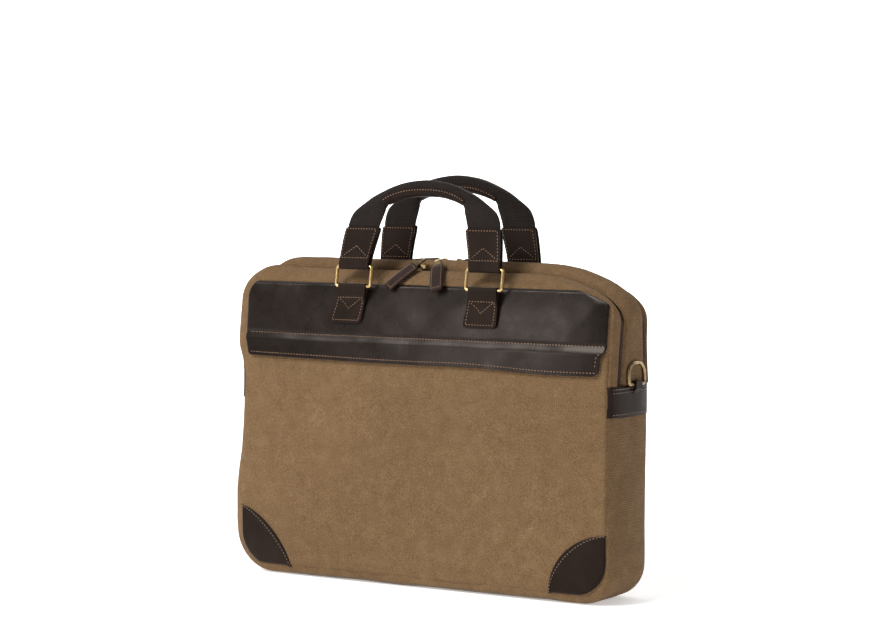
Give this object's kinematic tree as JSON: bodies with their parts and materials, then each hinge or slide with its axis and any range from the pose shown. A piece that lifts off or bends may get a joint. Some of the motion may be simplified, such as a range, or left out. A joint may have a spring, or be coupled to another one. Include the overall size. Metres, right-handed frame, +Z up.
{
  "type": "satchel bag",
  "caption": "Canvas and leather zipped satchel of briefcase shape with a flap pocket, hinged handles on metal rings and side rings for a strap",
  "frame": {"origin": "middle of the floor under the bag", "axes": "+Z up, +X along the width, the front faces -Y"},
  "size_m": [0.4196, 0.0833, 0.3819],
  "materials": {
    "canvas": "washed khaki-brown cotton canvas",
    "lining": "plain woven lining",
    "leather": "smooth dark brown leather, satin",
    "webbing": "dense dark brown cotton webbing",
    "zip_tape": "brown woven zip tape with nylon coil",
    "gilt": "polished pale brass",
    "antique_brass": "darkened antique brass",
    "board": "stiff fibreboard"
  },
  "bodies": {
    "bag": {"gusset_lower": "canvas", "gusset_middle": "canvas", "front_panel_lower": "canvas", "back_panel_lower": "canvas", "corner_patches": "leather", "side_bands": "leather", "ring_chapes": "leather", "base_board": "board", "divider": "lining", "laptop_sleeve": "lining", "organiser_pocket": "lining", "front_pocket_lining": "lining", "zip_front_tape_inner": "zip_tape", "zip_back_tape_inner": "zip_tape"},
    "front_leaf": {"front_panel_upper": "canvas", "yoke": "leather", "gusset_front_strip": "canvas", "zip_front_tape_outer": "zip_tape", "pocket_zip_tape": "zip_tape", "handle_tabs_front": "leather"},
    "back_leaf": {"back_panel_upper": "canvas", "gusset_back_strip": "canvas", "zip_back_tape_outer": "zip_tape", "handle_tabs_back": "leather"},
    "flap": {"flap": "leather"},
    "pocket_slider": {"pocket_slider": "antique_brass"},
    "sleeve_strap": {"sleeve_strap": "lining"},
    "side_ring_left": {"side_ring_left": "antique_brass"},
    "side_ring_right": {"side_ring_right": "antique_brass"},
    "ring_front_left": {"ring_front_left": "gilt"},
    "ring_front_right": {"ring_front_right": "gilt"},
    "handle_front": {"handle_front_ends": "leather", "handle_front_webbing": "webbing", "handle_front_grip": "leather"},
    "slider_front_left": {"slider_front_left": "antique_brass"},
    "pull_front_left": {"pull_link_front_left": "antique_brass", "pull_front_left": "leather"},
    "slider_front_right": {"slider_front_right": "antique_brass"},
    "pull_front_right": {"pull_link_front_right": "antique_brass", "pull_front_right": "leather"},
    "ring_back_left": {"ring_back_left": "gilt"},
    "ring_back_right": {"ring_back_right": "gilt"},
    "handle_back": {"handle_back_ends": "leather", "handle_back_webbing": "webbing", "handle_back_grip": "leather"},
    "slider_back_left": {"slider_back_left": "antique_brass"},
    "pull_back_left": {"pull_link_back_left": "antique_brass", "pull_back_left": "leather"},
    "slider_back_right": {"slider_back_right": "antique_brass"},
    "pull_back_right": {"pull_link_back_right": "antique_brass", "pull_back_right": "leather"}
  },
  "joints": [
    {"name": "front_opening", "type": "hinge", "parent": "bag", "child": "front_leaf", "pos_m": [0, -0.037, 0.196], "axis": [1, 0, 0], "range_deg": [0, 40]},
    {"name": "back_opening", "type": "hinge", "parent": "bag", "child": "back_leaf", "pos_m": [0, 0.037, 0.196], "axis": [-1, 0, 0], "range_deg": [0, 40]},
    {"name": "flap_lift", "type": "hinge", "parent": "front_leaf", "child": "flap", "pos_m": [0, -0.03762, 0.23407], "axis": [-1, 0, 0], "range_deg": [0, 110]},
    {"name": "pocket_zip", "type": "slide", "parent": "front_leaf", "child": "pocket_slider", "axis": [1, 0, 0], "range_m": [0, 0.285]},
    {"name": "sleeve_strap_lift", "type": "hinge", "parent": "bag", "child": "sleeve_strap", "pos_m": [0, 0.02, 0.2244], "axis": [1, 0, 0], "range_deg": [0, 120]},
    {"name": "side_ring_right_swing", "type": "hinge", "parent": "bag", "child": "side_ring_right", "pos_m": [0.2068, 0.006, 0.197], "axis": [0, 1, 0], "range_deg": [0, 150]},
    {"name": "side_ring_left_swing", "type": "hinge", "parent": "bag", "child": "side_ring_left", "pos_m": [-0.2068, 0.006, 0.197], "axis": [0, -1, 0], "range_deg": [0, 150]},
    {"name": "ring_front_left_swing", "type": "hinge", "parent": "front_leaf", "child": "ring_front_left", "pos_m": [-0.072, -0.03734, 0.27889], "axis": [1, 0, 0], "range_deg": [0, 70]},
    {"name": "ring_front_right_swing", "type": "hinge", "parent": "front_leaf", "child": "ring_front_right", "pos_m": [0.072, -0.03734, 0.27889], "axis": [1, 0, 0], "range_deg": [0, 70]},
    {"name": "handle_front_swing", "type": "hinge", "parent": "ring_front_left", "child": "handle_front", "pos_m": [-0.072, -0.03436, 0.29766], "axis": [1, 0, 0], "range_deg": [0, 35]},
    {"name": "zip_front_left_slide", "type": "slide", "parent": "front_leaf", "child": "slider_front_left", "axis": [-1, 0, 0], "range_m": [0, 0.138]},
    {"name": "pull_front_left_lift", "type": "hinge", "parent": "slider_front_left", "child": "pull_front_left", "pos_m": [-0.012, -0.00941, 0.30351], "axis": [-0.8447, 0.3918, 0.3647], "range_deg": [0, 100]},
    {"name": "zip_front_right_slide", "type": "slide", "parent": "front_leaf", "child": "slider_front_right", "axis": [1, 0, 0], "range_m": [0, 0.145]},
    {"name": "pull_front_right_lift", "type": "hinge", "parent": "slider_front_right", "child": "pull_front_right", "pos_m": [0.005, -0.00941, 0.30351], "axis": [-0.9171, -0.2918, -0.2716], "range_deg": [0, 100]},
    {"name": "ring_back_left_swing", "type": "hinge", "parent": "back_leaf", "child": "ring_back_left", "pos_m": [-0.072, 0.03818, 0.27858], "axis": [-1, 0, 0], "range_deg": [0, 70]},
    {"name": "ring_back_right_swing", "type": "hinge", "parent": "back_leaf", "child": "ring_back_right", "pos_m": [0.072, 0.03818, 0.27858], "axis": [-1, 0, 0], "range_deg": [0, 70]},
    {"name": "handle_back_swing", "type": "hinge", "parent": "ring_back_left", "child": "handle_back", "pos_m": [-0.072, 0.03521, 0.29734], "axis": [-1, 0, 0], "range_deg": [0, 35]},
    {"name": "zip_back_left_slide", "type": "slide", "parent": "back_leaf", "child": "slider_back_left", "axis": [-1, 0, 0], "range_m": [0, 0.142]},
    {"name": "pull_back_left_lift", "type": "hinge", "parent": "slider_back_left", "child": "pull_back_left", "pos_m": [-0.008, 0.02258, 0.30299], "axis": [0, 1, 0], "range_deg": [0, 120]},
    {"name": "zip_back_right_slide", "type": "slide", "parent": "back_leaf", "child": "slider_back_right", "axis": [1, 0, 0], "range_m": [0, 0.142]},
    {"name": "pull_back_right_lift", "type": "hinge", "parent": "slider_back_right", "child": "pull_back_right", "pos_m": [0.008, 0.02258, 0.30299], "axis": [0, -1, 0], "range_deg": [0, 120]}
  ],
  "couplings": [
    {"joint": "ring_front_right_swing", "follows": "ring_front_left_swing", "ratio": 1},
    {"joint": "ring_back_right_swing", "follows": "ring_back_left_swing", "ratio": 1}
  ]
}
